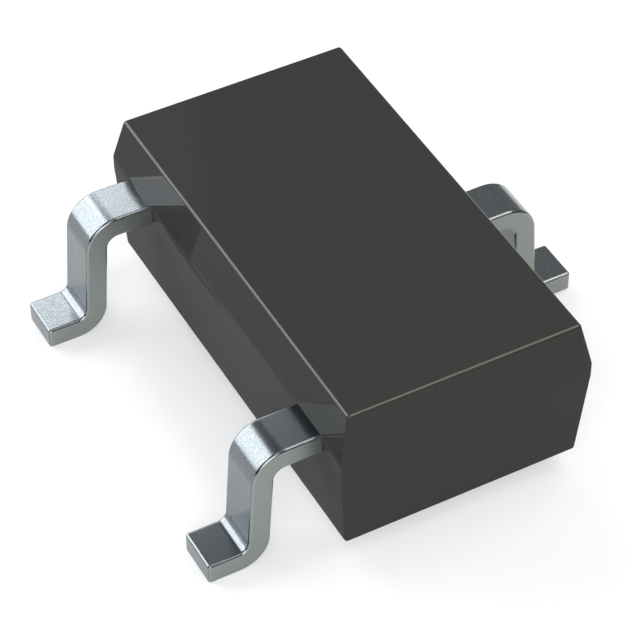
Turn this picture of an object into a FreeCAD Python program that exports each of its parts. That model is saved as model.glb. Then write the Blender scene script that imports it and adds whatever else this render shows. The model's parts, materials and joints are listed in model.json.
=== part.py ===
"""A three-lead voltage regulator in a small moulded surface-mount package.

The frame: the seating plane is Z = 0, where the three feet meet the circuit board. The origin is the
middle of the footprint. X runs from the side with two leads to the side with one lead, Y runs along
the moulded body, and Z points up. All lengths are millimetres and all angles are degrees.
"""
import FreeCAD, Part
import math
import os
import re

import Sketcher

# The driving sizes: each has a name, a value and a note.
SIZES = (
    # The moulded body.
    ("body_length", 2.80, "along Y, at the upright band"),
    ("body_width", 1.552, "along X, at the upright band"),
    ("body_standoff", 0.13, "gap between the board and the underside of the body"),
    ("lower_height", 0.601, "from the underside of the body to the upright band"),
    ("band_height", 0.089, "upright band at the parting line, which ends level with the leads"),
    ("upper_height", 0.280, "from the upright band to the top face"),
    ("lower_side_inset", 0.043, "draft of the lower part, each long side"),
    ("lower_end_inset", 0.038, "draft of the lower part, each end"),
    ("upper_side_inset", 0.059, "draft of the upper part, each long side"),
    ("upper_end_inset", 0.054, "draft of the upper part, each end"),
    ("body_edge_radius", 0.020, "upright corners, and edges round the top and bottom faces"),
    # The bent strip of each lead.
    ("lead_thickness", 0.135, "thickness of the strip"),
    ("lead_width", 0.287, "width of the strip"),
    ("lead_pitch", 2.05, "between the middles of the two leads on one side"),
    ("lead_reach", 0.692, "from the body's side to the toe"),
    ("shoulder_reach", 0.407, "from the body's side to the sharp outer corner of the shoulder"),
    ("leg_lean", 3.5, "angle of the leg away from the upright"),
    ("shoulder_radius", 0.072, "inner radius of the upper bend"),
    ("heel_radius", 0.056, "inner radius of the lower bend"),
    ("lead_edge_bevel", 0.012, "softened edges of the strip"),
    ("lead_embed", 0.075, "how far the strip runs into the body before it widens"),
    # The bond posts of the ground and output leads.
    ("post_flare", 0.060, "length over which the strip widens into the post"),
    ("post_depth", 0.300, "from the end of the strip to the tip of the post"),
    ("post_ear", 0.045, "how far the post is wider than the strip, away from the die"),
    ("post_arm", 0.285, "how far the post is wider than the strip, towards the die"),
    ("lock_hole_diameter", 0.120, "hole that the moulding fills and grips"),
    ("lock_hole_inset", 0.150, "from the end of the strip to the middle of the hole"),
    # The die paddle of the input lead.
    ("paddle_downset", 0.220, "drop from the lead's level to the paddle's"),
    ("downset_inset", 0.175, "from the body's side to the top of the slope"),
    ("downset_run", 0.220, "length of the slope along X"),
    ("downset_radius", 0.050, "inner radius of both bends of the slope"),
    ("paddle_length", 0.920, "along Y"),
    ("paddle_width", 0.820, "along X"),
    ("paddle_corner", 0.080, "bevelled corners of the paddle"),
    # The silicon die and the adhesive under it.
    ("die_length", 0.760, "along Y"),
    ("die_width", 0.540, "along X"),
    ("die_height", 0.150, "thickness of the silicon"),
    ("die_margin", 0.030, "from the paddle's far edge to the die"),
    ("attach_height", 0.020, "thickness of the adhesive bed"),
    ("attach_margin", 0.025, "how far the adhesive shows round the die"),
    # The bond wires.
    ("wire_diameter", 0.025, "diameter of each bond wire"),
    ("wire_loop", 0.110, "from the die to the middle of the wire at the top of its loop"),
    ("wire_flat", 0.100, "level stretch at the top of the input wire's loop"),
    ("wire_rise_radius", 0.045, "bend where a wire leaves the upright"),
    ("wire_fall_radius", 0.040, "bend where the input wire starts down"),
    ("wire_clearance", 0.002, "from the wire's underside to the face that its stitch lies on"),
    ("ball_diameter", 0.070, "ball at the die end of each wire"),
    ("ball_height", 0.020, "height of that ball"),
    ("stitch_length", 0.070, "flattened far end of each wire"),
    ("stitch_width", 0.050, "width of that flattened end"),
    ("stitch_height", 0.018, "thickness of that flattened end"),
    ("pad_edge_distance", 0.110, "from the die's edge to the outer bond pads, along Y"),
    ("pad_side_distance", 0.070, "from the die's edge to the bond pads, along X"),
    ("stitch_arm_distance", 0.080, "from the tip of the post's arm to the stitch"),
    ("stitch_tip_distance", 0.100, "from the inner edge of the post to the stitch"),
    ("down_bond_distance", 0.110, "from the die's near edge to the input wire's stitch"),
)

# Levels and places that several pieces share, as expressions on the driving sizes.
BAND_BASE = "(body_standoff + lower_height)"
LEAD_TOP = "(body_standoff + lower_height + band_height)"
BODY_TOP = "(body_standoff + lower_height + band_height + upper_height)"
HALF_WIDTH = "(body_width / 2)"
STRIP_END = "(body_width / 2 - lead_embed)"
PADDLE_TOP = f"({LEAD_TOP} - paddle_downset)"
PADDLE_NEAR = "(body_width / 2 - downset_inset - downset_run)"
PADDLE_FAR = f"({PADDLE_NEAR} - paddle_width)"
DIE_MIDDLE = f"({PADDLE_FAR} + die_margin + die_width / 2)"
DIE_NEAR = f"({PADDLE_FAR} + die_margin + die_width)"
DIE_TOP = f"({PADDLE_TOP} + attach_height + die_height)"

NAME = re.compile(r"\b[a-z]+(?:_[a-z]+)+\b")
UPRIGHT = FreeCAD.Vector(0, 0, 1)
TOUCH = 1e-6

doc = FreeCAD.newDocument("VoltageRegulator")


def make_sheet():
    """Write the driving sizes to a spreadsheet, one alias for each value."""
    sizes = doc.addObject("Spreadsheet::Sheet", "Dimensions")
    for row, (alias, value, note) in enumerate(SIZES, start=1):
        sizes.set(f"A{row}", note)
        sizes.set(f"B{row}", str(value))
        sizes.setAlias(f"B{row}", alias)
    doc.recompute()
    return sizes


def on_sheet(expression):
    """Point every size name of an expression at its cell in the spreadsheet."""
    return NAME.sub(r"Dimensions.\g<0>", expression)


def bind(feature, path, expression):
    """Drive one property of a feature by an expression on the sizes."""
    feature.setExpression(path, on_sheet(expression))


def value_of(expression):
    """Work out an expression on the sizes as a plain number."""
    result = sheet.evalExpression(on_sheet(expression))
    return float(getattr(result, "Value", result))


def make_body(name):
    """Start one piece as a body with a name of its own."""
    body = doc.addObject("PartDesign::Body", name)
    body.Label = name
    return body


def make_sketch(body, name, role, height=None):
    """Start a sketch on one of the body's own planes, moved along the plane's normal by height."""
    sketch = body.newObject("Sketcher::SketchObject", name)
    plane = next(f for f in body.Origin.OriginFeatures if f.Role == role)
    sketch.AttachmentSupport = [(plane, "")]
    sketch.MapMode = "FlatFace"
    if height:
        bind(sketch, "AttachmentOffset.Base.z", height)
    return sketch


def constrain(sketch, *terms, size=None):
    """Add a constraint, and drive its value by an expression where one is given."""
    if size is None:
        return sketch.addConstraint(Sketcher.Constraint(*terms))
    index = sketch.addConstraint(Sketcher.Constraint(*terms, value_of(size)))
    sketch.setExpression(f"Constraints[{index}]", on_sheet(size))
    return index


def place_point(sketch, line, x, y):
    """Dimension the start of a line from the sketch's origin."""
    constrain(sketch, "DistanceX", -1, 1, line, 1, size=x)
    constrain(sketch, "DistanceY", -1, 1, line, 1, size=y)


def draw_outline(sketch, corners):
    """Draw a closed outline of straight lines through corners given as pairs of expressions."""
    points = [FreeCAD.Vector(value_of(x), value_of(y), 0) for x, y in corners]
    count = len(points)
    for i in range(count):
        sketch.addGeometry(Part.LineSegment(points[i], points[(i + 1) % count]), False)
    for i in range(count):
        constrain(sketch, "Coincident", i, 2, (i + 1) % count, 1)
    for i, (x, y) in enumerate(corners):
        place_point(sketch, i, x, y)


def draw_rectangle(sketch, x_low, x_high, y_low, y_high):
    """Draw a rectangle between two X and two Y places."""
    draw_outline(sketch, ((x_low, y_low), (x_high, y_low), (x_high, y_high), (x_low, y_high)))


def draw_circle(sketch, diameter, x="0", y="0"):
    """Draw a circle about a point."""
    centre = FreeCAD.Vector(value_of(x), value_of(y), 0)
    circle = sketch.addGeometry(Part.Circle(centre, UPRIGHT, value_of(diameter) / 2), False)
    constrain(sketch, "Diameter", circle, size=diameter)
    constrain(sketch, "DistanceX", -1, 1, circle, 3, size=x)
    constrain(sketch, "DistanceY", -1, 1, circle, 3, size=y)


def draw_strip(sketch, corners, thickness):
    """Draw the side view of a bent strip of even thickness.

    The corners are those of the strip's upper surface, from its inner end out to its toe, before any
    bend is rounded. Each line of the underside is parallel to the one above it and a thickness away.
    The function returns the upper and the lower corners as points.
    """
    upper = [FreeCAD.Vector(value_of(x), value_of(y), 0) for x, y in corners]
    runs = len(upper) - 1
    gauge = value_of(thickness)
    headings = [(b - a).normalize() for a, b in zip(upper, upper[1:])]
    lower = []
    for i, point in enumerate(upper):
        before = headings[max(i - 1, 0)]
        after = headings[min(i, runs - 1)]
        mitre = FreeCAD.Vector(before.y + after.y, -before.x - after.x, 0)
        half = math.cos(before.getAngle(after) / 2)
        lower.append(point + mitre.normalize() * (gauge / half))
    loop = upper + lower[::-1]
    count = len(loop)
    for i in range(count):
        sketch.addGeometry(Part.LineSegment(loop[i], loop[(i + 1) % count]), False)
    for i in range(count):
        constrain(sketch, "Coincident", i, 2, (i + 1) % count, 1)
    for i, (x, y) in enumerate(corners):
        place_point(sketch, i, x, y)
    for i in range(runs):
        under = 2 * runs - i
        constrain(sketch, "Parallel", i, under)
        constrain(sketch, "Distance", under, 2, i, size=thickness)
    constrain(sketch, "Vertical", runs)
    constrain(sketch, "Vertical", count - 1)
    return upper, lower


def draw_route(sketch, corners, radii):
    """Draw a wire's middle line: straight runs through the corners, joined by tangent arcs."""
    points = [FreeCAD.Vector(value_of(x), value_of(y), 0) for x, y in corners]
    ends = [points[0]]
    for i, radius in enumerate(radii, start=1):
        before = (points[i] - points[i - 1]).normalize()
        after = (points[i + 1] - points[i]).normalize()
        trim = value_of(radius) * math.tan(before.getAngle(after) / 2)
        ends += [points[i] - before * trim, points[i] + after * trim]
    ends.append(points[-1])
    runs = [sketch.addGeometry(Part.LineSegment(ends[2 * i], ends[2 * i + 1]), False)
            for i in range(len(points) - 1)]
    for i, radius in enumerate(radii, start=1):
        start, finish = ends[2 * i - 1], ends[2 * i]
        bisector = (start - points[i]) + (finish - points[i])
        reach = value_of(radius) / math.sin((start - points[i]).getAngle(finish - points[i]) / 2)
        centre = points[i] + bisector.normalize() * reach
        middle = centre - bisector.normalize() * value_of(radius)
        bend = sketch.addGeometry(Part.Arc(start, middle, finish), False)
        start_end = 1 if sketch.getPoint(bend, 1).distanceToPoint(start) < TOUCH else 2
        constrain(sketch, "Tangent", runs[i - 1], 2, bend, start_end)
        constrain(sketch, "Tangent", bend, 3 - start_end, runs[i], 1)
        constrain(sketch, "Radius", bend, size=radius)
    for i, (x, y) in enumerate(corners):
        mark = sketch.addGeometry(Part.Point(points[i]), True)
        constrain(sketch, "DistanceX", -1, 1, mark, 1, size=x)
        constrain(sketch, "DistanceY", -1, 1, mark, 1, size=y)
        if i == 0:
            constrain(sketch, "Coincident", mark, 1, runs[0], 1)
        elif i == len(corners) - 1:
            constrain(sketch, "Coincident", mark, 1, runs[-1], 2)
        else:
            constrain(sketch, "PointOnObject", mark, 1, runs[i - 1])
            constrain(sketch, "PointOnObject", mark, 1, runs[i])


def extrude(body, name, sketch, length, both_ways=False):
    """Pad a sketch along its normal, or evenly to both sides of its plane."""
    pad = body.newObject("PartDesign::Pad", name)
    pad.Profile = sketch
    pad.SideType = "Symmetric" if both_ways else "One side"
    bind(pad, "Length", length)
    doc.recompute()
    return pad


def cut_down(body, name, sketch, depth):
    """Pocket a sketch downwards and make sure that it took something away."""
    before = body.Shape.Volume
    pocket = body.newObject("PartDesign::Pocket", name)
    pocket.Profile = sketch
    bind(pocket, "Length", depth)
    doc.recompute()
    if body.Shape.Volume > before - TOUCH:
        raise RuntimeError(f"{name} cuts nothing")
    return pocket


def treat_edges(body, name, kind, base, chosen, size):
    """Fillet or chamfer every edge of the base that the chosen test picks."""
    names = [f"Edge{i}" for i, edge in enumerate(base.Shape.Edges, start=1) if chosen(edge)]
    treated = body.newObject(f"PartDesign::{kind}", name)
    treated.Base = (base, names)
    bind(treated, "Radius" if kind == "Fillet" else "Size", size)
    doc.recompute()
    return treated


def lies_on(edge, x=None, y=None, z=None):
    """Tell whether both ends of an edge have the given coordinates."""
    ends = [vertex.Point for vertex in edge.Vertexes]
    wanted = ((0, x), (1, y), (2, z))
    return all(abs(end[axis] - place) < TOUCH for end in ends for axis, place in wanted if place is not None)


def bend_strip(body, base, upper, lower, bends):
    """Round the bends of a strip, each about the side where its inner radius lies.

    Each bend gives its name, the number of its corner, its inner radius and whether that radius is on
    the upper surface. The outer radius is the inner one and the thickness, so the strip keeps its gauge.
    """
    for name, corner, radius, inner_is_upper in bends:
        inner, outer = (upper, lower) if inner_is_upper else (lower, upper)
        for side, point, size in (("Inner", inner[corner], radius),
                                  ("Outer", outer[corner], f"{radius} + lead_thickness")):
            base = treat_edges(body, f"{name}{side}", "Fillet", base,
                               lambda edge, at=point: lies_on(edge, x=at.x, z=at.y), size)
    return base


def make_strip(body, extra_corners=(), extra_bends=()):
    """Make the gull-wing strip of a lead, outwards along the body's own X, with softened edges."""
    lean = "tan(leg_lean * 1 deg)"
    shoulder = f"({HALF_WIDTH} + shoulder_reach)"
    heel = f"({shoulder} + ({LEAD_TOP} - lead_thickness) * {lean})"
    toe = f"({HALF_WIDTH} + lead_reach)"
    corners = list(extra_corners) or [(STRIP_END, LEAD_TOP)]
    corners += [(shoulder, LEAD_TOP), (heel, "lead_thickness"), (toe, "lead_thickness")]
    sketch = make_sketch(body, f"{body.Name}Profile", "XZ_Plane")
    upper, lower = draw_strip(sketch, corners, "lead_thickness")
    strip = extrude(body, f"{body.Name}Strip", sketch, "lead_width", both_ways=True)
    count = len(corners)
    bends = list(extra_bends)
    bends += [("Shoulder", count - 3, "shoulder_radius", False), ("Heel", count - 2, "heel_radius", True)]
    bent = bend_strip(body, strip, upper, lower, bends)
    half = value_of("lead_width") / 2
    inner_end, toe_end = upper[0].x, upper[-1].x

    def outside(edge):
        along_side = lies_on(edge, y=half) or lies_on(edge, y=-half)
        return (along_side and not lies_on(edge, x=inner_end)) or lies_on(edge, x=toe_end)

    return treat_edges(body, f"{body.Name}Softening", "Chamfer", bent, outside, "lead_edge_bevel")


def make_post_lead(name, towards_die, lead_side):
    """Make a lead that ends inside the body in a bond post.

    towards_die is the side of the strip, in the body's own Y, on which the post's arm lies. lead_side
    is the side of the package, in Y, on which the lead stands.
    """
    body = make_body(name)
    make_strip(body)
    near = f"{towards_die} * (lead_width / 2"
    far = f"{-towards_die} * (lead_width / 2"
    flare = f"({STRIP_END} - post_flare)"
    tip = f"({STRIP_END} - post_depth)"
    plan = make_sketch(body, f"{name}PostPlan", "XY_Plane", f"{LEAD_TOP} - lead_thickness")
    draw_outline(plan, (
        (STRIP_END, f"{far})"),
        (STRIP_END, f"{near})"),
        (flare, f"{near} + post_arm)"),
        (tip, f"{near} + post_arm)"),
        (tip, f"{far} + post_ear)"),
        (flare, f"{far} + post_ear)"),
    ))
    extrude(body, f"{name}Post", plan, "lead_thickness")
    hole = make_sketch(body, f"{name}LockHolePlan", "XY_Plane", LEAD_TOP)
    draw_circle(hole, "lock_hole_diameter", f"{STRIP_END} - lock_hole_inset")
    cut_down(body, f"{name}LockHole", hole, "lead_thickness")
    body.Placement.Rotation = FreeCAD.Rotation(UPRIGHT, 180)
    bind(body, "Placement.Base.y", f"{lead_side} * lead_pitch / 2")
    return body


def make_paddle_lead(name):
    """Make the lead that steps down inside the body and carries the die on its paddle."""
    body = make_body(name)
    slope_top = f"({HALF_WIDTH} - downset_inset)"
    make_strip(
        body,
        extra_corners=((f"{PADDLE_NEAR} - paddle_corner", PADDLE_TOP), (PADDLE_NEAR, PADDLE_TOP),
                       (slope_top, LEAD_TOP)),
        extra_bends=(("SlopeFoot", 1, "downset_radius", True), ("SlopeHead", 2, "downset_radius", False)),
    )
    plan = make_sketch(body, f"{name}PaddlePlan", "XY_Plane", f"{PADDLE_TOP} - lead_thickness")
    half = "paddle_length / 2"
    inset = f"({half} - paddle_corner)"
    draw_outline(plan, (
        (f"{PADDLE_FAR} + paddle_corner", f"-{half}"),
        (f"{PADDLE_NEAR} - paddle_corner", f"-{half}"),
        (PADDLE_NEAR, f"-{inset}"),
        (PADDLE_NEAR, inset),
        (f"{PADDLE_NEAR} - paddle_corner", half),
        (f"{PADDLE_FAR} + paddle_corner", half),
        (PADDLE_FAR, inset),
        (PADDLE_FAR, f"-{inset}"),
    ))
    extrude(body, f"{name}Paddle", plan, "lead_thickness")
    return body


def make_plate(name, width, length, height):
    """Make a flat rectangular piece about its own Z axis."""
    body = make_body(name)
    plan = make_sketch(body, f"{name}Plan", "XY_Plane")
    draw_rectangle(plan, f"-({width}) / 2", f"({width}) / 2", f"-({length}) / 2", f"({length}) / 2")
    plate = extrude(body, f"{name}Plate", plan, height)
    return body, plate


def make_die():
    """Make the silicon die, on its adhesive."""
    body, _ = make_plate("regulator_die", "die_width", "die_length", "die_height")
    bind(body, "Placement.Base.x", DIE_MIDDLE)
    bind(body, "Placement.Base.z", f"{PADDLE_TOP} + attach_height")
    return body


def make_die_attach():
    """Make the bed of adhesive, which shows as a bevelled bead round the die."""
    margin = "2 * attach_margin"
    body, plate = make_plate("die_attach", f"die_width + {margin}", f"die_length + {margin}", "attach_height")
    top = value_of("attach_height")
    treat_edges(body, "AttachBevel", "Chamfer", plate, lambda edge: lies_on(edge, z=top), "attach_height / 2")
    bind(body, "Placement.Base.x", DIE_MIDDLE)
    bind(body, "Placement.Base.z", PADDLE_TOP)
    doc.recompute()
    return body


def make_wire(name, start, finish, flat=None):
    """Make a bond wire with its ball and its stitch.

    start and finish are the middles of the ball and of the stitch, each as three expressions, and flat
    is the level stretch of a loop that has to clear the die's edge. In the piece's own frame the ball
    stands on the origin and the stitch lies along X from it.
    """
    body = make_body(name)
    step_x, step_y, rise = (f"(({b}) - ({a}))" for a, b in zip(start, finish))
    span = f"(sqrt({step_x}^2 + {step_y}^2))"
    ball = make_sketch(body, f"{name}BallPlan", "XY_Plane")
    draw_circle(ball, "ball_diameter")
    extrude(body, f"{name}Ball", ball, "ball_height")
    landing = f"({rise} + wire_diameter / 2 + wire_clearance)"
    corners = [("0", "ball_height / 2"), ("0", "wire_loop"), (span, landing)]
    radii = ["wire_rise_radius"]
    if flat:
        corners.insert(2, (flat, "wire_loop"))
        radii.append("wire_fall_radius")
    route = make_sketch(body, f"{name}Route", "XZ_Plane")
    draw_route(route, corners, radii)
    section = make_sketch(body, f"{name}Section", "XY_Plane", "ball_height / 2")
    draw_circle(section, "wire_diameter")
    sweep = body.newObject("PartDesign::AdditivePipe", f"{name}Wire")
    sweep.Profile = section
    sweep.Spine = (route, [""])
    doc.recompute()
    stitch = make_sketch(body, f"{name}StitchPlan", "XY_Plane", rise)
    draw_rectangle(stitch, f"{span} - stitch_length / 2", f"{span} + stitch_length / 2",
                   "-stitch_width / 2", "stitch_width / 2")
    extrude(body, f"{name}Stitch", stitch, "stitch_height")
    body.Placement.Rotation = FreeCAD.Rotation(UPRIGHT, 1)
    bind(body, "Placement.Rotation.Angle", f"atan2({step_y}; {step_x})")
    for axis, place in zip("xyz", start):
        bind(body, f"Placement.Base.{axis}", place)
    doc.recompute()
    return body


def make_package_block():
    """Make the outside of the moulding: four outlines joined by flat drafted faces, edges rounded."""
    body = make_body("package_block")
    outlines = (
        ("TopFace", BODY_TOP, "upper_side_inset", "upper_end_inset"),
        ("BandTop", LEAD_TOP, "0", "0"),
        ("BandBase", BAND_BASE, "0", "0"),
        ("Underside", "body_standoff", "lower_side_inset", "lower_end_inset"),
    )
    sketches = []
    for name, level, side_inset, end_inset in outlines:
        sketch = make_sketch(body, f"{name}Outline", "XY_Plane", level)
        half_x = f"(body_width / 2 - {side_inset})"
        half_y = f"(body_length / 2 - {end_inset})"
        draw_rectangle(sketch, f"-{half_x}", half_x, f"-{half_y}", half_y)
        sketches.append(sketch)
    loft = body.newObject("PartDesign::AdditiveLoft", "DraftedSides")
    loft.Profile = sketches[0]
    loft.Sections = sketches[1:]
    loft.Ruled = True
    doc.recompute()
    rims = (value_of("body_standoff"), value_of(BODY_TOP))

    def rounded(edge):
        low, high = sorted(vertex.Point.z for vertex in edge.Vertexes)
        return high - low > TOUCH or any(abs(high - rim) < TOUCH for rim in rims)

    treat_edges(body, "EdgeRounding", "Fillet", loft, rounded, "body_edge_radius")
    return body


def make_moulded_body(embedded):
    """Mould the block round everything that it holds."""
    block = make_package_block()
    inserts = doc.addObject("Part::MultiFuse", "embedded_pieces")
    inserts.Shapes = embedded
    moulding = doc.addObject("Part::Cut", "moulded_body")
    moulding.Label = "moulded_body"
    moulding.Base = block
    moulding.Tool = inserts
    doc.recompute()
    return moulding


def make_pieces():
    """Make every piece of the regulator."""
    ground = make_post_lead("ground_lead", towards_die=1, lead_side=1)
    output = make_post_lead("output_lead", towards_die=-1, lead_side=-1)
    supply = make_paddle_lead("input_lead")
    attach = make_die_attach()
    die = make_die()
    pad_x = f"({DIE_MIDDLE} - die_width / 2 + pad_side_distance)"
    pad_y = "(die_length / 2 - pad_edge_distance)"
    stitch_x = f"(-{STRIP_END} + post_depth - stitch_tip_distance)"
    stitch_y = "(lead_pitch / 2 - lead_width / 2 - post_arm + stitch_arm_distance)"
    wires = [
        make_wire("ground_wire", (pad_x, pad_y, DIE_TOP), (stitch_x, stitch_y, LEAD_TOP)),
        make_wire("output_wire", (pad_x, f"-{pad_y}", DIE_TOP), (stitch_x, f"-{stitch_y}", LEAD_TOP)),
        make_wire("input_wire", (f"{DIE_NEAR} - pad_side_distance", "0", DIE_TOP),
                  (f"{DIE_NEAR} + down_bond_distance", "0", PADDLE_TOP), flat="wire_flat"),
    ]
    embedded = [ground, output, supply, attach, die, *wires]
    return [make_moulded_body(embedded), *embedded]


def check_document(pieces):
    """Stop if any feature failed or any piece is not one valid solid."""
    for feature in doc.Objects:
        if "Invalid" in feature.State or "Error" in feature.State:
            raise RuntimeError(f"{feature.Name} failed: {feature.State}")
    for piece in pieces:
        shape = piece.Shape
        if shape.isNull() or not shape.isValid() or len(shape.Solids) != 1:
            raise RuntimeError(f"{piece.Label} is not one valid solid")


def write_pieces(pieces):
    """Write one file for each piece, named after it."""
    os.makedirs("parts", exist_ok=True)
    for piece in pieces:
        piece.Shape.exportStep(f"parts/{piece.Label}.step")
        box = piece.Shape.optimalBoundingBox(True, False)
        print(f"{piece.Label}: {piece.Shape.Volume:.5f} mm3, X {box.XMin:.3f} to {box.XMax:.3f}, "
              f"Y {box.YMin:.3f} to {box.YMax:.3f}, Z {box.ZMin:.3f} to {box.ZMax:.3f}")


sheet = make_sheet()
all_pieces = make_pieces()
check_document(all_pieces)
write_pieces(all_pieces)
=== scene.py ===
"""The looks of a three-lead voltage regulator in a small moulded surface-mount package.

Shapes are built in millimetres and scaled to metres when they become pieces. X runs from the side with
two leads to the side with one lead, Y runs along the moulded body, Z points up, and the three feet
stand on Z = 0. Angles are in degrees.
"""
import json
import logging
import math
from dataclasses import dataclass
from enum import Enum
from typing import Any, Sequence

import bmesh
import bpy
from mathutils import Matrix, Quaternion, Vector

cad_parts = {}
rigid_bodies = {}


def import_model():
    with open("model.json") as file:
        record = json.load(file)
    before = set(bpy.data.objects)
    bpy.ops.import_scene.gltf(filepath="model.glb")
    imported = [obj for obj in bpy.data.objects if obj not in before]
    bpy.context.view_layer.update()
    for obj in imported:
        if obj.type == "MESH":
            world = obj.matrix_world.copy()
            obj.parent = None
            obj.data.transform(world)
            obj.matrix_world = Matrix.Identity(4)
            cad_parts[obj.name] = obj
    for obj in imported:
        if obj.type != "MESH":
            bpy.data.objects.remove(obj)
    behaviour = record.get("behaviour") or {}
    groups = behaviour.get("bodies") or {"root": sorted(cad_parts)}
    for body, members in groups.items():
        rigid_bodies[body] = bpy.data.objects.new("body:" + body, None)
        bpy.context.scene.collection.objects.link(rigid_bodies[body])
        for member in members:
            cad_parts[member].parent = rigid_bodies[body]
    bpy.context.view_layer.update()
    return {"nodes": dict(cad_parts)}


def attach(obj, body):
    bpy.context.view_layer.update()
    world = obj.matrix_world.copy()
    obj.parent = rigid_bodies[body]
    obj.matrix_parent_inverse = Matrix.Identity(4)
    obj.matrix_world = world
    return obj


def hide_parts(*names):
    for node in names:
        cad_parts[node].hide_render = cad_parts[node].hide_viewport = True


LOG = logging.getLogger("regulator")
MM = 0.001
BODY = "root"

Colour = tuple[float, float, float]
Place = tuple[float, float, float]
FlatPlace = tuple[float, float]
Span = tuple[float, float]

# Sizes that more than one class uses.

BODY_WIDTH = 1.552
BAND_BASE = 0.731
BAND_TOP = 0.820
LEAD_HALF_PITCH = 1.025

# The middle of a noise texture's range.

NOISE_MIDDLE = 0.5


# Shader building.


@dataclass(frozen=True)
class Value:
    """One socket of a shader tree; arithmetic on it adds Math nodes."""

    tree: "ShaderTree"
    socket: bpy.types.NodeSocket

    def _math(self, operation: str, first: Any, second: Any) -> "Value":
        """Add one Math node for two operands."""
        return self.tree.add("ShaderNodeMath", {"operation": operation}, {0: first, 1: second})

    def __add__(self, other: Any) -> "Value":
        """Add a number or a value."""
        return self._math("ADD", self, other)

    def __radd__(self, other: Any) -> "Value":
        """Add to a number."""
        return self._math("ADD", other, self)

    def __sub__(self, other: Any) -> "Value":
        """Subtract a number or a value."""
        return self._math("SUBTRACT", self, other)

    def __rsub__(self, other: Any) -> "Value":
        """Subtract from a number."""
        return self._math("SUBTRACT", other, self)

    def __mul__(self, other: Any) -> "Value":
        """Multiply by a number or a value."""
        return self._math("MULTIPLY", self, other)

    def __rmul__(self, other: Any) -> "Value":
        """Multiply a number."""
        return self._math("MULTIPLY", other, self)

    def __abs__(self) -> "Value":
        """Take the size without its sign."""
        return self._math("ABSOLUTE", self, 0.0)

    def above(self, limit: float) -> "Value":
        """Give 1 where the value is over a limit, and 0 elsewhere."""
        return self._math("GREATER_THAN", self, limit)

    def below(self, limit: float) -> "Value":
        """Give 1 where the value is under a limit, and 0 elsewhere."""
        return self._math("LESS_THAN", self, limit)


class ShaderTree:
    """The node tree of one material."""

    def __init__(self, name: str) -> None:
        """Start a material with a Principled shader on its output.

        Args:
            name: the material's name.
        """
        self.material = bpy.data.materials.new(name)
        self.material.use_nodes = True
        self.nodes = self.material.node_tree.nodes
        self.links = self.material.node_tree.links
        self.surface = self.nodes["Principled BSDF"]

    def add(self, kind: str, settings: dict[str, Any] | None = None,
            inputs: dict[int | str, Any] | None = None, output: int | str = 0) -> Value:
        """Add a node, with its settings first and then its sockets.

        Args:
            kind: the node's type.
            settings: properties of the node.
            inputs: plain values or links, by socket number or name.
            output: the socket to hand back.

        Returns:
            The chosen output as a value.
        """
        node = self.nodes.new(kind)
        for key, setting in (settings or {}).items():
            setattr(node, key, setting)
        for key, source in (inputs or {}).items():
            self.feed(node.inputs[key], source)
        return Value(self, node.outputs[output])

    def feed(self, socket: bpy.types.NodeSocket, source: Any) -> None:
        """Link a value to a socket, or set a plain one on it.

        Args:
            socket: the socket to feed.
            source: a value to link, or a number, vector or colour to set.
        """
        if isinstance(source, Value):
            self.links.new(source.socket, socket)
        elif socket.type == "RGBA" and len(source) == 3:
            socket.default_value = (*source, 1.0)
        else:
            socket.default_value = source

    def place(self) -> Value:
        """Give the point on the surface, in millimetres of the part's own frame."""
        point = self.add("ShaderNodeTexCoord", output="Object")
        return self.add("ShaderNodeVectorMath", {"operation": "SCALE"}, {0: point, "Scale": 1 / MM})

    def axes(self, vector: Value) -> tuple[Value, Value, Value]:
        """Split a vector into its three numbers.

        Args:
            vector: the vector to split.

        Returns:
            Its X, Y and Z.
        """
        first = self.add("ShaderNodeSeparateXYZ", inputs={0: vector})
        sockets = first.socket.node.outputs
        return first, Value(self, sockets[1]), Value(self, sockets[2])

    def facing(self) -> tuple[Value, Value, Value]:
        """Give the direction that the surface faces, as three numbers."""
        return self.axes(self.add("ShaderNodeNewGeometry", output="Normal"))

    def noise(self, point: Value, grain: float, detail: float = 2.0, roughness: float = 0.5) -> Value:
        """Give smooth noise between 0 and 1.

        Args:
            point: where to read it, in millimetres.
            grain: the size of its spots, in millimetres.
            detail: how many finer layers it has.
            roughness: how strong those layers are.

        Returns:
            The noise.
        """
        return self.add("ShaderNodeTexNoise", {"noise_dimensions": "3D"},
                        {"Vector": point, "Scale": 1 / grain, "Detail": detail, "Roughness": roughness})

    def spread(self, value: Value, span: Span) -> Value:
        """Stretch a span over 0 to 1 and cut it off there.

        Args:
            value: what to stretch.
            span: the values that become 0 and 1; the first may be the larger.

        Returns:
            The stretched value.
        """
        low, high = span
        return self.add("ShaderNodeMapRange", {"clamp": True},
                        {"Value": value, "From Min": low, "From Max": high, "To Min": 0.0, "To Max": 1.0})

    def mix(self, factor: Any, first: Any, second: Any) -> Value:
        """Mix two colours by a factor."""
        return self.add("ShaderNodeMix", {"data_type": "RGBA"}, {0: factor, 6: first, 7: second}, 2)

    def bump(self, height: Value, depth: float) -> Value:
        """Turn a height between 0 and 1 into a bumped normal, with its depth in millimetres."""
        return self.add("ShaderNodeBump", inputs={"Height": height, "Distance": depth * MM, "Strength": 1.0})

    def finish(self, **sockets: Any) -> bpy.types.Material:
        """Set the Principled shader's sockets and hand over the material.

        Args:
            sockets: what each socket gets, by its name with _ for a space.

        Returns:
            The material.
        """
        for name, source in sockets.items():
            self.feed(self.surface.inputs[name.replace("_", " ")], source)
        return self.material


# Finishes. A tilt is a span of one part of the surface's direction, where 1 faces straight that way.


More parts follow.
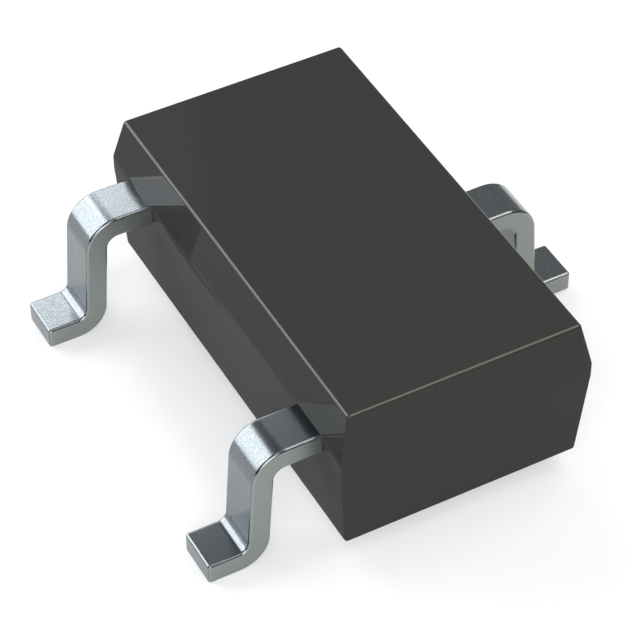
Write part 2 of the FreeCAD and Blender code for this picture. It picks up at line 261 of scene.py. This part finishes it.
@dataclass(frozen=True)
class MouldingCompound:
    """Dark filled epoxy from a polished mould, each face painted in its own tone for how light falls on it:
    the upper flanks darker than the top as painted shade, and the ends, rims, underside, lower flanks and
    the band at the parting line lighter as painted light.

    All its gloss is a clear coat: full on the rounded rims, weak on the sides and all but gone on the top.
    On two slanted patches of the upper side, one above each lead, the coat is stronger and mirrors the lead.
    A patch is given by its place along the body and the weight of its coat.
    """

    band_base: float = BAND_BASE
    band_top: float = BAND_TOP
    top_colour: Colour = (0.0378, 0.0377, 0.0360)
    # Painted light and shade: the ends with the rims and underside, the upper flanks, the lower flanks and
    # the band each get their own tone of the same epoxy for how light falls on them.
    painted_end_tone: Colour = (0.0410, 0.0405, 0.0378)
    painted_flank_shade: Colour = (0.0342, 0.0340, 0.0326)
    painted_lower_flank_tone: Colour = (0.0440, 0.0427, 0.0386)
    painted_band_tone: Colour = (0.0520, 0.0500, 0.0450)
    flow_colour: Colour = (0.040, 0.040, 0.038)
    filler_colour: Colour = (0.066, 0.065, 0.062)
    flow: float = 0.55
    flow_span: Span = (0.3, 0.7)
    filler: float = 0.010
    filler_span: Span = (0.62, 0.8)
    tint: float = 0.2
    relief: float = 0.00008
    roughness: float = 0.08
    roughness_change: float = 0.03
    refraction: float = 1.50
    flat_limit: float = 0.9
    shine: float = 0.21
    rim_shine: float = 1.0
    rim_tilt: Span = (0.60, 0.72)
    top_shine: float = 0.03
    top_tilt: Span = (0.91, 0.96)
    coat_roughness: float = 0.04
    patches: tuple[tuple[float, float], ...] = ((LEAD_HALF_PITCH, 0.80), (-LEAD_HALF_PITCH, 0.45))
    patch_half_width: float = 0.143
    patch_lean: float = 1.32
    patch_edge: float = 0.006

    def material(self) -> bpy.types.Material:
        """Build the material."""
        tree = ShaderTree("moulding_compound")
        point = tree.place()
        flow = tree.noise(point, self.flow, detail=3.0)
        filler = tree.noise(point, self.filler, detail=3.0, roughness=0.7)
        _, along, height = tree.axes(point)
        outwards, _, upwards = tree.facing()
        band = height.above(self.band_base) * height.below(self.band_top)
        # Painted light and shade: each face is coloured by which way it faces and how high it stands, the
        # upper flanks darker than the top and the ends, lower flanks and band lighter.
        painted_flank_halves = tree.mix(height.below(self.band_base), self.painted_flank_shade, self.painted_lower_flank_tone)
        painted_flank_tones = tree.mix(band, painted_flank_halves, self.painted_band_tone)
        sides = tree.mix(abs(outwards).above(self.flat_limit), self.painted_end_tone, painted_flank_tones)
        plain = tree.mix(upwards.above(self.flat_limit), sides, self.top_colour)
        dusky = tree.mix(tree.spread(flow, self.flow_span) * self.tint, plain, self.flow_colour)
        speckled = tree.mix(tree.spread(filler, self.filler_span) * self.tint, dusky, self.filler_colour)
        rim = tree.spread(upwards, self.rim_tilt) * (self.rim_shine - self.shine)
        top = tree.spread(upwards, self.top_tilt) * (self.top_shine - self.rim_shine)
        shine = self.shine + rim + top
        slanted = along + (height - self.band_top) * self.patch_lean
        upper_side = height.above(self.band_top) * outwards.below(-self.flat_limit)
        border = (self.patch_half_width - self.patch_edge, self.patch_half_width + self.patch_edge)
        for place, strength in self.patches:
            beyond = tree.spread(abs(slanted - place), border)
            shine = shine + upper_side * (1.0 - beyond) * (strength - self.shine)
        return tree.finish(
            Base_Color=speckled,
            Roughness=(self.roughness + (flow - NOISE_MIDDLE) * self.roughness_change
                       + (filler - NOISE_MIDDLE) * self.roughness_change),
            Normal=tree.bump(filler, self.relief),
            IOR=self.refraction,
            Specular_IOR_Level=0.0,
            Coat_Weight=shine,
            Coat_Roughness=self.coat_roughness,
            Coat_IOR=self.refraction,
        )


@dataclass(frozen=True)
class TinnedLead:
    """Matt tin on a copper strip.

    The rolled faces are speckled, and painted a little darker where they stand upright, as painted shade on
    the legs. The punched sides are even and rougher, with glossy bevels. The tin reaches just into the
    moulding, and further in the strip is bare copper alloy.
    """

    tin: Colour = (0.258, 0.283, 0.297)
    dull_and_shaded_tin: Colour = (0.140, 0.155, 0.165)
    punched_tin: Colour = (0.273, 0.299, 0.289)
    copper: Colour = (0.760, 0.400, 0.250)
    tin_edge: float = 0.770
    rolled_tilt: Span = (0.55, 0.85)
    punched_tilt: Span = (0.90, 0.99)
    painted_leg_shade_tilt: Span = (0.75, 0.95)
    speck: float = 0.0082
    speck_span: Span = (0.34, 0.66)
    cloud: float = 0.16
    grain_share: float = 0.72
    cloud_share: float = 0.1
    painted_leg_shade_share: float = 0.38
    roughness: float = 0.19
    punched_roughness: float = 0.45
    speck_roughness: float = 0.10
    cloud_roughness: float = 0.03
    relief: float = 0.00005

    def material(self) -> bpy.types.Material:
        """Build the material."""
        tree = ShaderTree("tinned_lead")
        point = tree.place()
        across, _, _ = tree.axes(point)
        outwards, sideways, _ = tree.facing()
        rolled = 1.0 - tree.spread(abs(sideways), self.rolled_tilt)
        punched = tree.spread(abs(sideways), self.punched_tilt)
        speck = tree.noise(point, self.speck, roughness=0.6)
        cloud = tree.noise(point, self.cloud)
        grain = tree.spread(speck, self.speck_span)
        # Painted shade: faces that stand upright, mostly the legs, are mixed towards the darker tin as well
        # as the real speckle.
        upright = tree.spread(abs(outwards), self.painted_leg_shade_tilt)
        dullness_and_leg_shade = grain * self.grain_share + cloud * self.cloud_share + upright * self.painted_leg_shade_share
        speckled = tree.mix(dullness_and_leg_shade, self.tin, self.dull_and_shaded_tin)
        tinned = tree.mix(rolled, self.punched_tin, speckled)
        outside = abs(across).above(self.tin_edge)
        return tree.finish(
            Base_Color=tree.mix(outside, self.copper, tinned),
            Metallic=1.0,
            Roughness=(self.roughness + punched * (self.punched_roughness - self.roughness)
                       + (speck - NOISE_MIDDLE) * self.speck_roughness * rolled
                       + (cloud - NOISE_MIDDLE) * self.cloud_roughness),
            Normal=tree.bump(grain * rolled, self.relief),
        )


@dataclass(frozen=True)
class SilverAdhesive:
    """Grey adhesive full of silver flakes."""

    resin: Colour = (0.30, 0.30, 0.31)
    silver: Colour = (0.62, 0.62, 0.63)
    flake: float = 0.012
    flake_span: Span = (0.45, 0.15)
    metal: float = 0.6
    roughness: float = 0.62
    flake_gloss: float = 0.2
    relief: float = 0.0015

    def material(self) -> bpy.types.Material:
        """Build the material."""
        tree = ShaderTree("silver_adhesive")
        point = tree.place()
        flakes = tree.add("ShaderNodeTexVoronoi", {"feature": "F1"},
                          {"Vector": point, "Scale": 1 / self.flake})
        shine = tree.spread(flakes, self.flake_span)
        return tree.finish(
            Base_Color=tree.mix(shine, self.resin, self.silver),
            Metallic=shine * self.metal,
            Roughness=self.roughness - shine * self.flake_gloss,
            Normal=tree.bump(flakes, self.relief),
        )


@dataclass(frozen=True)
class SiliconDie:
    """Sawn silicon with a grid of metal tracks and three bright bond pads on its top face."""

    silicon: Colour = (0.17, 0.175, 0.185)
    cell: Colour = (0.20, 0.22, 0.28)
    warm_cell: Colour = (0.30, 0.27, 0.24)
    track: Colour = (0.55, 0.55, 0.53)
    pad_metal: Colour = (0.86, 0.86, 0.85)
    top: float = 0.770
    skin: float = 0.001
    pads: tuple[FlatPlace, ...] = ((-0.34, 0.27), (-0.34, -0.27), (0.06, 0.0))
    pad_half: float = 0.045
    block: float = 0.09
    saw_mark: float = 0.006
    saw_stretch: Place = (0.15, 0.15, 1.0)
    saw_roughness: float = 0.15
    metal: float = 0.15
    top_metal: float = 0.7
    roughness: float = 0.45
    top_gloss: float = 0.25
    relief: float = 0.001

    def material(self) -> bpy.types.Material:
        """Build the material."""
        tree = ShaderTree("silicon_die")
        point = tree.place()
        along_x, along_y, height = tree.axes(point)
        on_top = height.above(self.top - self.skin)
        circuit = tree.add("ShaderNodeTexBrick", {"offset": 0.5},
                           {"Vector": point, "Color1": self.cell, "Color2": self.warm_cell,
                            "Mortar": self.track, "Scale": 1 / self.block,
                            "Mortar Size": 0.06, "Brick Width": 1.4, "Row Height": 0.7})
        pad: Any = 0.0
        for x, y in self.pads:
            pad = pad + abs(along_x - x).below(self.pad_half) * abs(along_y - y).below(self.pad_half)
        stretched = tree.add("ShaderNodeVectorMath", {"operation": "MULTIPLY"},
                             {0: point, 1: self.saw_stretch})
        sawn = tree.noise(stretched, self.saw_mark)
        face = tree.mix(pad, circuit, self.pad_metal)
        return tree.finish(
            Base_Color=tree.mix(on_top, self.silicon, face),
            Metallic=on_top * self.top_metal + self.metal,
            Roughness=(self.roughness - on_top * self.top_gloss
                       + (sawn - NOISE_MIDDLE) * self.saw_roughness),
            Normal=tree.bump(sawn * (1.0 - on_top), self.relief),
        )


@dataclass(frozen=True)
class BondWire:
    """Soft drawn gold wire."""

    gold: Colour = (0.95, 0.70, 0.34)
    dull_gold: Colour = (0.80, 0.55, 0.24)
    grain: float = 0.008
    tint: float = 0.4
    roughness: float = 0.22
    grain_roughness: float = 0.12
    relief: float = 0.0004

    def material(self) -> bpy.types.Material:
        """Build the material."""
        tree = ShaderTree("bond_wire")
        grain = tree.noise(tree.place(), self.grain)
        return tree.finish(
            Base_Color=tree.mix(grain * self.tint, self.gold, self.dull_gold),
            Metallic=1.0,
            Roughness=self.roughness + grain * self.grain_roughness,
            Normal=tree.bump(grain, self.relief),
        )


@dataclass(frozen=True)
class PaperFloor:
    """White paper that reads as a white background and still takes the part's shadow.

    It glows only for the camera and in reflections, and its colour and glow fade to grey with the distance
    from the centre of a painted pool of light.
    """

    colour: Colour = (0.57, 0.57, 0.57)
    fibre_colour: Colour = (0.54, 0.54, 0.54)
    painted_falloff_colour: Colour = (0.20, 0.20, 0.20)
    dark: Colour = (0.0, 0.0, 0.0)
    glow: Colour = (0.45, 0.45, 0.45)
    pool: Place = (-4.0, 5.0, 0.0)
    painted_pool_edge: Span = (9.4, 18.0)
    fibre: float = 0.25
    tint: float = 0.1

    def material(self) -> bpy.types.Material:
        """Build the material."""
        tree = ShaderTree("paper_floor")
        rays = tree.add("ShaderNodeLightPath", output="Is Camera Ray")
        outputs = rays.socket.node.outputs
        seen = rays + Value(tree, outputs["Is Glossy Ray"]) + Value(tree, outputs["Is Transmission Ray"])
        point = tree.place()
        # Painted pool of light: the paper's colour and its glow darken to grey away from the pool's centre.
        away = tree.add("ShaderNodeVectorMath", {"operation": "DISTANCE"}, {0: point, 1: self.pool}, "Value")
        far = tree.spread(away, self.painted_pool_edge)
        fibre = tree.noise(point, self.fibre, detail=3.0)
        paper = tree.mix(fibre * self.tint, self.colour, self.fibre_colour)
        lit = seen * (1.0 - far)
        return tree.finish(
            Base_Color=tree.mix(far, paper, self.painted_falloff_colour),
            Roughness=0.9,
            Specular_IOR_Level=0.0,
            Emission_Color=tree.mix(lit, self.dark, self.glow),
            Emission_Strength=1.0,
        )


class RecordSlot(Enum):
    """Names of the record's material slots for the moulding and the leads."""

    MOULDING = "moulding_compound"
    LEAD = "tinned_lead"


# Mesh helpers.


def as_object(name: str, mesh: bpy.types.Mesh) -> bpy.types.Object:
    """Put a mesh in the scene as an object.

    Args:
        name: the object's name.
        mesh: its shape.

    Returns:
        The object.
    """
    item = bpy.data.objects.new(name, mesh)
    bpy.context.scene.collection.objects.link(item)
    return item


def baked(item: bpy.types.Object) -> bpy.types.Mesh:
    """Apply an object's modifiers and remove the object.

    Args:
        item: the object.

    Returns:
        Its mesh with the modifiers applied.
    """
    graph = bpy.context.evaluated_depsgraph_get()
    mesh = bpy.data.meshes.new_from_object(item.evaluated_get(graph), depsgraph=graph)
    bpy.data.objects.remove(item)
    return mesh


def united(base: bpy.types.Mesh, added: bpy.types.Mesh) -> bpy.types.Mesh:
    """Join two closed meshes into one skin.

    Args:
        base: the mesh to join to.
        added: the mesh that is joined to it.

    Returns:
        The joined mesh.
    """
    first, second = as_object("base", base), as_object("added", added)
    join = first.modifiers.new("join", "BOOLEAN")
    join.operation, join.solver, join.object = "UNION", "EXACT", second
    mesh = baked(first)
    bpy.data.objects.remove(second)
    return mesh


def with_even_normals(mesh: bpy.types.Mesh) -> bpy.types.Mesh:
    """Shade a mesh smooth, with its flat faces kept flat and its sharp edges kept sharp.

    Args:
        mesh: the mesh to shade.

    Returns:
        The shaded mesh.
    """
    for face in mesh.polygons:
        face.use_smooth = True
    item = as_object("normals", mesh)
    even = item.modifiers.new("even", "WEIGHTED_NORMAL")
    even.keep_sharp, even.weight = True, 100
    return baked(item)


def close_ends(shape: bmesh.types.BMesh, rings: list[list[bmesh.types.BMVert]]) -> None:
    """Put a face on the first and on the last of a row of outlines.

    Args:
        shape: the working shape that the outlines are in.
        rings: the corners of each outline, in the same order.
    """
    shape.faces.new(rings[0][::-1])
    shape.faces.new(rings[-1])


def join_rings(shape: bmesh.types.BMesh, rings: list[list[bmesh.types.BMVert]]) -> None:
    """Put faces between each outline of a row and the next.

    Args:
        shape: the working shape that the outlines are in.
        rings: the corners of each outline, in the same order.
    """
    count = len(rings[0])
    for near, far in zip(rings, rings[1:]):
        for i in range(count):
            j = (i + 1) % count
            shape.faces.new((near[i], near[j], far[j], far[i]))


def slab(corners: Sequence[FlatPlace], low: float, high: float) -> bmesh.types.BMesh:
    """Make a flat plate.

    Args:
        corners: its outline, seen from above.
        low: the level of its underside.
        high: the level of its upper side.

    Returns:
        The working shape.
    """
    shape = bmesh.new()
    face = shape.faces.new([shape.verts.new((x, y, low)) for x, y in corners])
    grown = bmesh.ops.extrude_face_region(shape, geom=[face])["geom"]
    raised = [item for item in grown if isinstance(item, bmesh.types.BMVert)]
    bmesh.ops.translate(shape, vec=(0.0, 0.0, high - low), verts=raised)
    bmesh.ops.recalc_face_normals(shape, faces=shape.faces)
    return shape


def to_mesh(shape: bmesh.types.BMesh, name: str) -> bpy.types.Mesh:
    """Turn a working shape into a mesh and free it.

    Args:
        shape: the working shape.
        name: the mesh's name.

    Returns:
        The mesh.
    """
    mesh = bpy.data.meshes.new(name)
    shape.to_mesh(mesh)
    shape.free()
    return mesh


def add_piece(name: str, mesh: bpy.types.Mesh, material: bpy.types.Material,
              node: str) -> None:
    """Turn a mesh in millimetres into a finished piece in metres.

    Args:
        name: the piece's name.
        mesh: its shape.
        material: its finish.
        node: the solid that it stands for.
    """
    mesh.transform(Matrix.Scale(MM, 4))
    mesh.materials.clear()
    mesh.materials.append(material)
    piece = as_object(name, mesh)
    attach(piece, BODY)
    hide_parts(node)
    LOG.info("%s: %d faces", name, len(mesh.polygons))


# The moulded body.


@dataclass
class MouldedBody:
    """The drafted epoxy block with its upright band, all outer edges rounded."""

    length: float = 2.80
    width: float = BODY_WIDTH
    standoff: float = 0.13
    band_base: float = BAND_BASE
    band_top: float = BAND_TOP
    upper_height: float = 0.280
    lower_side_inset: float = 0.043
    lower_end_inset: float = 0.038
    upper_side_inset: float = 0.059
    upper_end_inset: float = 0.054
    edge_radius: float = 0.020
    edge_steps: int = 6
    height_digits: int = 4

    def levels(self) -> list[tuple[float, float, float]]:
        """Give each outline's height and its insets from the sides and the ends, lowest first."""
        return [
            (self.standoff, self.lower_side_inset, self.lower_end_inset),
            (self.band_base, 0.0, 0.0),
            (self.band_top, 0.0, 0.0),
            (self.band_top + self.upper_height, self.upper_side_inset, self.upper_end_inset),
        ]

    def mesh(self) -> bpy.types.Mesh:
        """Build the block from its four outlines and round its outer edges.

        Returns:
            The mesh, in millimetres.
        """
        shape = bmesh.new()
        rings = []
        for level, side, end in self.levels():
            x, y = self.width / 2 - side, self.length / 2 - end
            corners = ((-x, -y), (x, -y), (x, y), (-x, y))
            rings.append([shape.verts.new((*corner, level)) for corner in corners])
        close_ends(shape, rings)
        join_rings(shape, rings)
        outer = [edge for edge in shape.edges if not self._on_band(edge)]
        bmesh.ops.bevel(shape, geom=outer, offset=self.edge_radius, offset_type="OFFSET",
                        segments=self.edge_steps, profile=0.5, affect="EDGES", clamp_overlap=False)
        for edge in shape.edges:
            edge.smooth = not self._on_band(edge)
        bmesh.ops.recalc_face_normals(shape, faces=shape.faces)
        return with_even_normals(to_mesh(shape, "epoxy_moulding"))

    def _on_band(self, edge: bmesh.types.BMEdge) -> bool:
        """Tell whether an edge lies along the lower or the upper line of the band."""
        heights = {round(vertex.co.z, self.height_digits) for vertex in edge.verts}
        return heights in ({self.band_base}, {self.band_top})

    def build(self, material: bpy.types.Material) -> None:
        """Build and dress the block."""
        add_piece("epoxy_moulding", self.mesh(), material, "moulded_body")


# The leads.


class BodySide(Enum):
    """The long side of the body that a lead stands on, with the turn that takes it there."""

    ONE_LEAD = 0.0
    TWO_LEADS = 180.0


@dataclass
class Bend:
    """One corner of a strip's upper surface, and the inner radius of the bend at it."""

    x: float
    z: float
    radius: float = 0.0


@dataclass
class GullWingLead:
    """A punched strip that leaves the body level, turns down and ends in a flat foot.

    It is built along +X and turned to its side of the body at the end.
    """

    name: str
    node: str
    side: BodySide
    y: float
    thickness: float = 0.135
    width: float = 0.287
    top: float = BAND_TOP
    body_half_width: float = BODY_WIDTH / 2
    reach: float = 0.692
    shoulder_reach: float = 0.407
    leg_lean: float = 3.5
    shoulder_radius: float = 0.072
    heel_radius: float = 0.056
    edge_radius: float = 0.018
    least_radius: float = 0.0004
    embed: float = 0.075
    edge_steps: int = 4
    bend_steps: int = 16

    def inner_bends(self) -> list[Bend]:
        """Give the strip's corners inside the body."""
        return [Bend(self.body_half_width - self.embed, self.top)]

    def inner_plates(self) -> list[bmesh.types.BMesh]:
        """Give the plates that the strip widens into inside the body."""
        return []

    def bends(self) -> list[Bend]:
        """Give all corners of the strip's upper surface, from its inner end to its toe."""
        shoulder = self.body_half_width + self.shoulder_reach
        heel = shoulder + (self.top - self.thickness) * math.tan(math.radians(self.leg_lean))
        return [
            *self.inner_bends(),
            Bend(shoulder, self.top, self.shoulder_radius),
            Bend(heel, self.thickness, self.heel_radius),
            Bend(self.body_half_width + self.reach, self.thickness),
        ]

    def middle_line(self) -> list[tuple[Vector, Vector]]:
        """Work out the strip's middle line with its bends rounded.

        Returns:
            Points along the line, each with the heading there.
        """
        bends = self.bends()
        upper = [Vector((bend.x, 0.0, bend.z)) for bend in bends]
        runs = [(following - point).normalized() for point, following in zip(upper, upper[1:])]
        middle = []
        for i, point in enumerate(upper):
            before, after = runs[max(i - 1, 0)], runs[min(i, len(runs) - 1)]
            mitre = Vector((before.z + after.z, 0.0, -before.x - after.x)).normalized()
            middle.append(point + mitre * (self.thickness / 2 / math.cos(before.angle(after) / 2)))
        line = [(middle[0], runs[0])]
        for i in range(1, len(bends) - 1):
            line += self._rounded(middle[i], runs[i - 1], runs[i], bends[i].radius)
        line.append((middle[-1] - runs[-1] * self.edge_radius, runs[-1]))
        return line

    def _rounded(self, corner: Vector, before: Vector, after: Vector,
                 inner_radius: float) -> list[tuple[Vector, Vector]]:
        """Round one corner of the middle line.

        Args:
            corner: where the two runs would meet.
            before: the heading of the run that ends there.
            after: the heading of the run that starts there.
            inner_radius: the radius on the inner surface of the strip.

        Returns:
            Points along the bend, each with the heading there.
        """
        turn = before.angle(after)
        radius = inner_radius + self.thickness / 2
        start = corner - before * (radius * math.tan(turn / 2))
        inward = (after - before).normalized()
        centre = corner + inward * (radius / math.cos(turn / 2))
        axis = before.cross(after)
        points = []
        for step in range(self.bend_steps + 1):
            swing = Quaternion(axis, turn * step / self.bend_steps)
            points.append((centre + swing @ (start - centre), swing @ before))
        return points

    def section(self, inset: float) -> list[FlatPlace]:
        """Work out the strip's rounded cross-section.

        Args:
            inset: how far it is drawn in on all sides.

        Returns:
            Its points, across and up.
        """
        half_width, half_height = self.width / 2 - inset, self.thickness / 2 - inset
        radius = max(self.edge_radius - inset, self.least_radius)
        outline = []
        for quarter, (a, b) in enumerate(((1, 1), (-1, 1), (-1, -1), (1, -1))):
            for step in range(self.edge_steps + 1):
                angle = math.pi / 2 * (quarter + step / self.edge_steps)
                outline.append((a * (half_width - radius) + radius * math.cos(angle),
                                b * (half_height - radius) + radius * math.sin(angle)))
        return outline

    def strip(self) -> bmesh.types.BMesh:
        """Sweep the cross-section along the middle line and round the toe.

        Returns:
            The working shape.
        """
        shape = bmesh.new()
        stations = [(point, heading, 0.0) for point, heading in self.middle_line()]
        tip, heading, _ = stations[-1]
        for step in range(1, self.edge_steps + 1):
            angle = math.pi / 2 * step / self.edge_steps
            stations.append((tip + heading * (self.edge_radius * math.sin(angle)), heading,
                             self.edge_radius * (1 - math.cos(angle))))
        rings = []
        for point, heading, inset in stations:
            up = Vector((-heading.z, 0.0, heading.x))
            rings.append([shape.verts.new(point + Vector((0.0, across, 0.0)) + up * rise)
                          for across, rise in self.section(inset)])
        join_rings(shape, rings)
        close_ends(shape, rings)
        bmesh.ops.recalc_face_normals(shape, faces=shape.faces)
        return shape

    def build(self, material: bpy.types.Material) -> None:
        """Build the lead, stand it on its side of the body and dress it.

        Args:
            material: its finish.
        """
        mesh = to_mesh(self.strip(), self.name)
        for plate in self.inner_plates():
            mesh = united(mesh, to_mesh(plate, "plate"))
        mesh = with_even_normals(mesh)
        turn = Matrix.Rotation(math.radians(self.side.value), 4, "Z")
        mesh.transform(Matrix.Translation((0.0, self.y, 0.0)) @ turn)
        add_piece(self.name, mesh, material, self.node)


@dataclass
class PostLead(GullWingLead):
    """A lead that ends inside the body in a bond post with a hole that the moulding grips."""

    towards_die: float = 1.0
    post_flare: float = 0.060
    post_depth: float = 0.300
    post_ear: float = 0.045
    post_arm: float = 0.285
    post_overlap: float = 0.004
    hole_diameter: float = 0.120
    hole_inset: float = 0.150
    hole_steps: int = 24

    def inner_plates(self) -> list[bmesh.types.BMesh]:
        """Give the post, in two plates that meet through the middle of its hole."""
        return [self._half_post(self.towards_die, self.post_arm),
                self._half_post(-self.towards_die, self.post_ear)]

    def _half_post(self, way: float, beyond: float) -> bmesh.types.BMesh:
        """Make the plate on one side of the middle of the hole.

        Args:
            way: 1 or -1, for the side that it lies on in Y.
            beyond: how far it stands out past the strip's edge.

        Returns:
            The working shape.
        """
        end = self.body_half_width - self.embed
        root, flare, tip = end + self.post_overlap, end - self.post_flare, end - self.post_depth
        edge, outer = way * (self.width / 2), way * (self.width / 2 + beyond)
        hole, radius = end - self.hole_inset, self.hole_diameter / 2
        angles = [math.tau * i / self.hole_steps for i in range(self.hole_steps // 2 + 1)]
        arc = [(hole + radius * math.cos(angle), way * (radius * math.sin(angle))) for angle in angles]
        outline = [(root, 0.0), (root, edge), (end, edge), (flare, outer), (tip, outer), (tip, 0.0),
                   *arc[::-1]]
        return slab(outline, self.top - self.thickness, self.top)


@dataclass
class PaddleLead(GullWingLead):
    """The lead that steps down inside the body and carries the die on its paddle."""

    downset: float = 0.220
    downset_inset: float = 0.175
    downset_run: float = 0.220
    downset_radius: float = 0.050
    paddle_length: float = 0.920
    paddle_width: float = 0.820
    paddle_corner: float = 0.080

    def _near_edge(self) -> FlatPlace:
        """Give the place of the paddle's edge at the foot of the slope, and its upper level."""
        return self.body_half_width - self.downset_inset - self.downset_run, self.top - self.downset

    def inner_bends(self) -> list[Bend]:
        """Give the corners of the slope between the paddle and the level of the leads."""
        near, level = self._near_edge()
        return [
            Bend(near - self.paddle_corner, level),
            Bend(near, level, self.downset_radius),
            Bend(self.body_half_width - self.downset_inset, self.top, self.downset_radius),
        ]

    def inner_plates(self) -> list[bmesh.types.BMesh]:
        """Give the paddle, with its corners cut."""
        near, level = self._near_edge()
        far, cut, half = near - self.paddle_width, self.paddle_corner, self.paddle_length / 2
        outline = [(far + cut, -half), (near - cut, -half), (near, cut - half), (near, half - cut),
                   (near - cut, half), (far + cut, half), (far, half - cut), (far, cut - half)]
        return [slab(outline, level - self.thickness, level)]


# The studio.


@dataclass
class Softbox:
    """A soft rectangular lamp that faces the part; its level is its brightness, with 1 as white."""

    name: str
    azimuth: float
    elevation: float
    width: float
    height: float
    level: float
    distance: float = 40.0
    colour: Colour = (1.0, 1.0, 1.0)
    roll: float = 0.0
    target: Place = (0.0, 0.0, 0.6)

    def build(self) -> None:
        """Hang the lamp."""
        turn, lift = math.radians(self.azimuth), math.radians(self.elevation)
        towards = Vector((math.sin(turn) * math.cos(lift), math.cos(turn) * math.cos(lift), math.sin(lift)))
        data = bpy.data.lights.new(self.name, "AREA")
        data.shape = "RECTANGLE"
        data.size, data.size_y = self.width * MM, self.height * MM
        data.color = self.colour
        data.energy = self.level * math.pi * data.size * data.size_y
        lamp = bpy.data.objects.new(self.name, data)
        bpy.context.scene.collection.objects.link(lamp)
        lamp.location = (Vector(self.target) + towards * self.distance) * MM
        lamp.rotation_mode = "QUATERNION"
        spin = Quaternion((0.0, 0.0, 1.0), math.radians(self.roll))
        lamp.rotation_quaternion = towards.to_track_quat("Z", "Y") @ spin
        LOG.info("%s: lamp", self.name)


@dataclass
class Studio:
    """A pale floor, a dim surround and soft lamps."""

    floor_half: float = 120.0
    floor_cells: int = 8
    surround: Colour = (0.072, 0.084, 0.097)
    cool: Colour = (0.97, 0.99, 1.0)
    warm: Colour = (1.0, 0.95, 0.86)

    def floor(self) -> None:
        """Lay the floor under the feet."""
        shape = bmesh.new()
        bmesh.ops.create_grid(shape, x_segments=self.floor_cells, y_segments=self.floor_cells,
                              size=self.floor_half * MM)
        mesh = to_mesh(shape, "floor")
        mesh.materials.append(PaperFloor().material())
        plane = as_object("floor", mesh)
        LOG.info("floor: laid")

    def world(self) -> None:
        """Light everything evenly from all round."""
        world = bpy.data.worlds.new("surround")
        bpy.context.scene.world = world
        world.use_nodes = True
        background = world.node_tree.nodes["Background"]
        background.inputs["Color"].default_value = (*self.surround, 1.0)
        background.inputs["Strength"].default_value = 1.0

    def lamps(self) -> list[Softbox]:
        """List the lamps."""
        return [
            Softbox("back_softbox", azimuth=2.5, elevation=32.0, width=25.0, height=20.0, level=3.7,
                    roll=-7.0, colour=self.cool),
            Softbox("left_softbox", azimuth=-38.0, elevation=25.0, width=30.0, height=36.0, level=4.0,
                    colour=self.cool),
            Softbox("front_softbox", azimuth=113.0, elevation=57.0, width=50.0, height=20.0, level=3.1,
                    roll=25.0, colour=self.warm),
            Softbox("right_fill", azimuth=72.0, elevation=30.0, width=60.0, height=45.0, level=0.27),
            Softbox("front_left_fill", azimuth=-150.0, elevation=28.0, width=36.0, height=34.0, level=3.1),
            Softbox("overhead_softbox", azimuth=0.0, elevation=90.0, width=23.0, height=23.0, level=0.85),
        ]

    def build(self) -> None:
        """Set the whole studio up."""
        self.floor()
        self.world()
        for lamp in self.lamps():
            lamp.build()


@dataclass
class Viewpoint:
    """The camera, aimed at the underside of the body from the front left and above.

    The sensor is in camera millimetres, and the clipping distances are in metres.
    """

    azimuth: float = -28.484
    elevation: float = 44.597
    roll: float = -0.036
    distance: float = 16.607
    shift_right: float = -0.13304
    shift_up: float = 0.12610
    focal_pixels: float = 2858.9
    frame_pixels: float = 640.0
    sensor_width: float = 36.0
    clipping: Span = (0.001, 2.0)
    target: Place = (0.0, 0.0, 0.13)

    def build(self) -> None:
        """Set the camera up and make it the scene's."""
        turn, lift, tilt = (math.radians(angle) for angle in (self.azimuth, self.elevation, self.roll))
        back = Vector((math.sin(turn) * math.cos(lift), -math.cos(turn) * math.cos(lift), math.sin(lift)))
        level = Vector((math.cos(turn), math.sin(turn), 0.0))
        above = back.cross(level)
        right = level * math.cos(tilt) + above * math.sin(tilt)
        up = above * math.cos(tilt) - level * math.sin(tilt)
        data = bpy.data.cameras.new("viewpoint")
        data.sensor_width = self.sensor_width
        data.lens = self.focal_pixels / self.frame_pixels * self.sensor_width
        data.clip_start, data.clip_end = self.clipping
        camera = bpy.data.objects.new("viewpoint", data)
        bpy.context.scene.collection.objects.link(camera)
        eye = Vector(self.target) + back * self.distance + right * self.shift_right + up * self.shift_up
        axes = Matrix((right, up, back)).transposed().to_4x4()
        camera.matrix_world = Matrix.Translation(eye * MM) @ axes
        bpy.context.scene.camera = camera
        LOG.info("viewpoint: camera")


# The whole part.


class RegulatorChip:
    """The moulded package, its three leads and what they hold inside."""

    def build(self, nodes: dict[str, bpy.types.Object]) -> None:
        """Build the outer pieces and dress the inner ones.

        Args:
            nodes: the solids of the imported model, by name.
        """
        MouldedBody().build(MouldingCompound().material())
        tin = TinnedLead().material()
        leads = [
            PostLead("ground_lead_strip", "ground_lead", BodySide.TWO_LEADS, LEAD_HALF_PITCH,
                     towards_die=1.0),
            PostLead("output_lead_strip", "output_lead", BodySide.TWO_LEADS, -LEAD_HALF_PITCH,
                     towards_die=-1.0),
            PaddleLead("input_lead_strip", "input_lead", BodySide.ONE_LEAD, 0.0),
        ]
        for lead in leads:
            lead.build(tin)
        wire = BondWire().material()
        inner = {
            "die_attach": SilverAdhesive().material(),
            "regulator_die": SiliconDie().material(),
            "ground_wire": wire,
            "output_wire": wire,
            "input_wire": wire,
        }
        for name, material in inner.items():
            for slot in nodes[name].material_slots:
                slot.material = material
            LOG.info("%s: dressed", name)


def clear_scene() -> None:
    """Take out whatever the scene starts with."""
    for item in list(bpy.data.objects):
        bpy.data.objects.remove(item)


def main() -> None:
    """Build the part and its studio."""
    logging.basicConfig(level=logging.INFO, format="%(name)s: %(message)s")
    clear_scene()
    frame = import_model()
    bpy.context.scene.view_settings.view_transform = "Standard"
    Viewpoint().build()
    RegulatorChip().build(frame["nodes"])
    Studio().build()


if __name__ == "__main__":
    main()
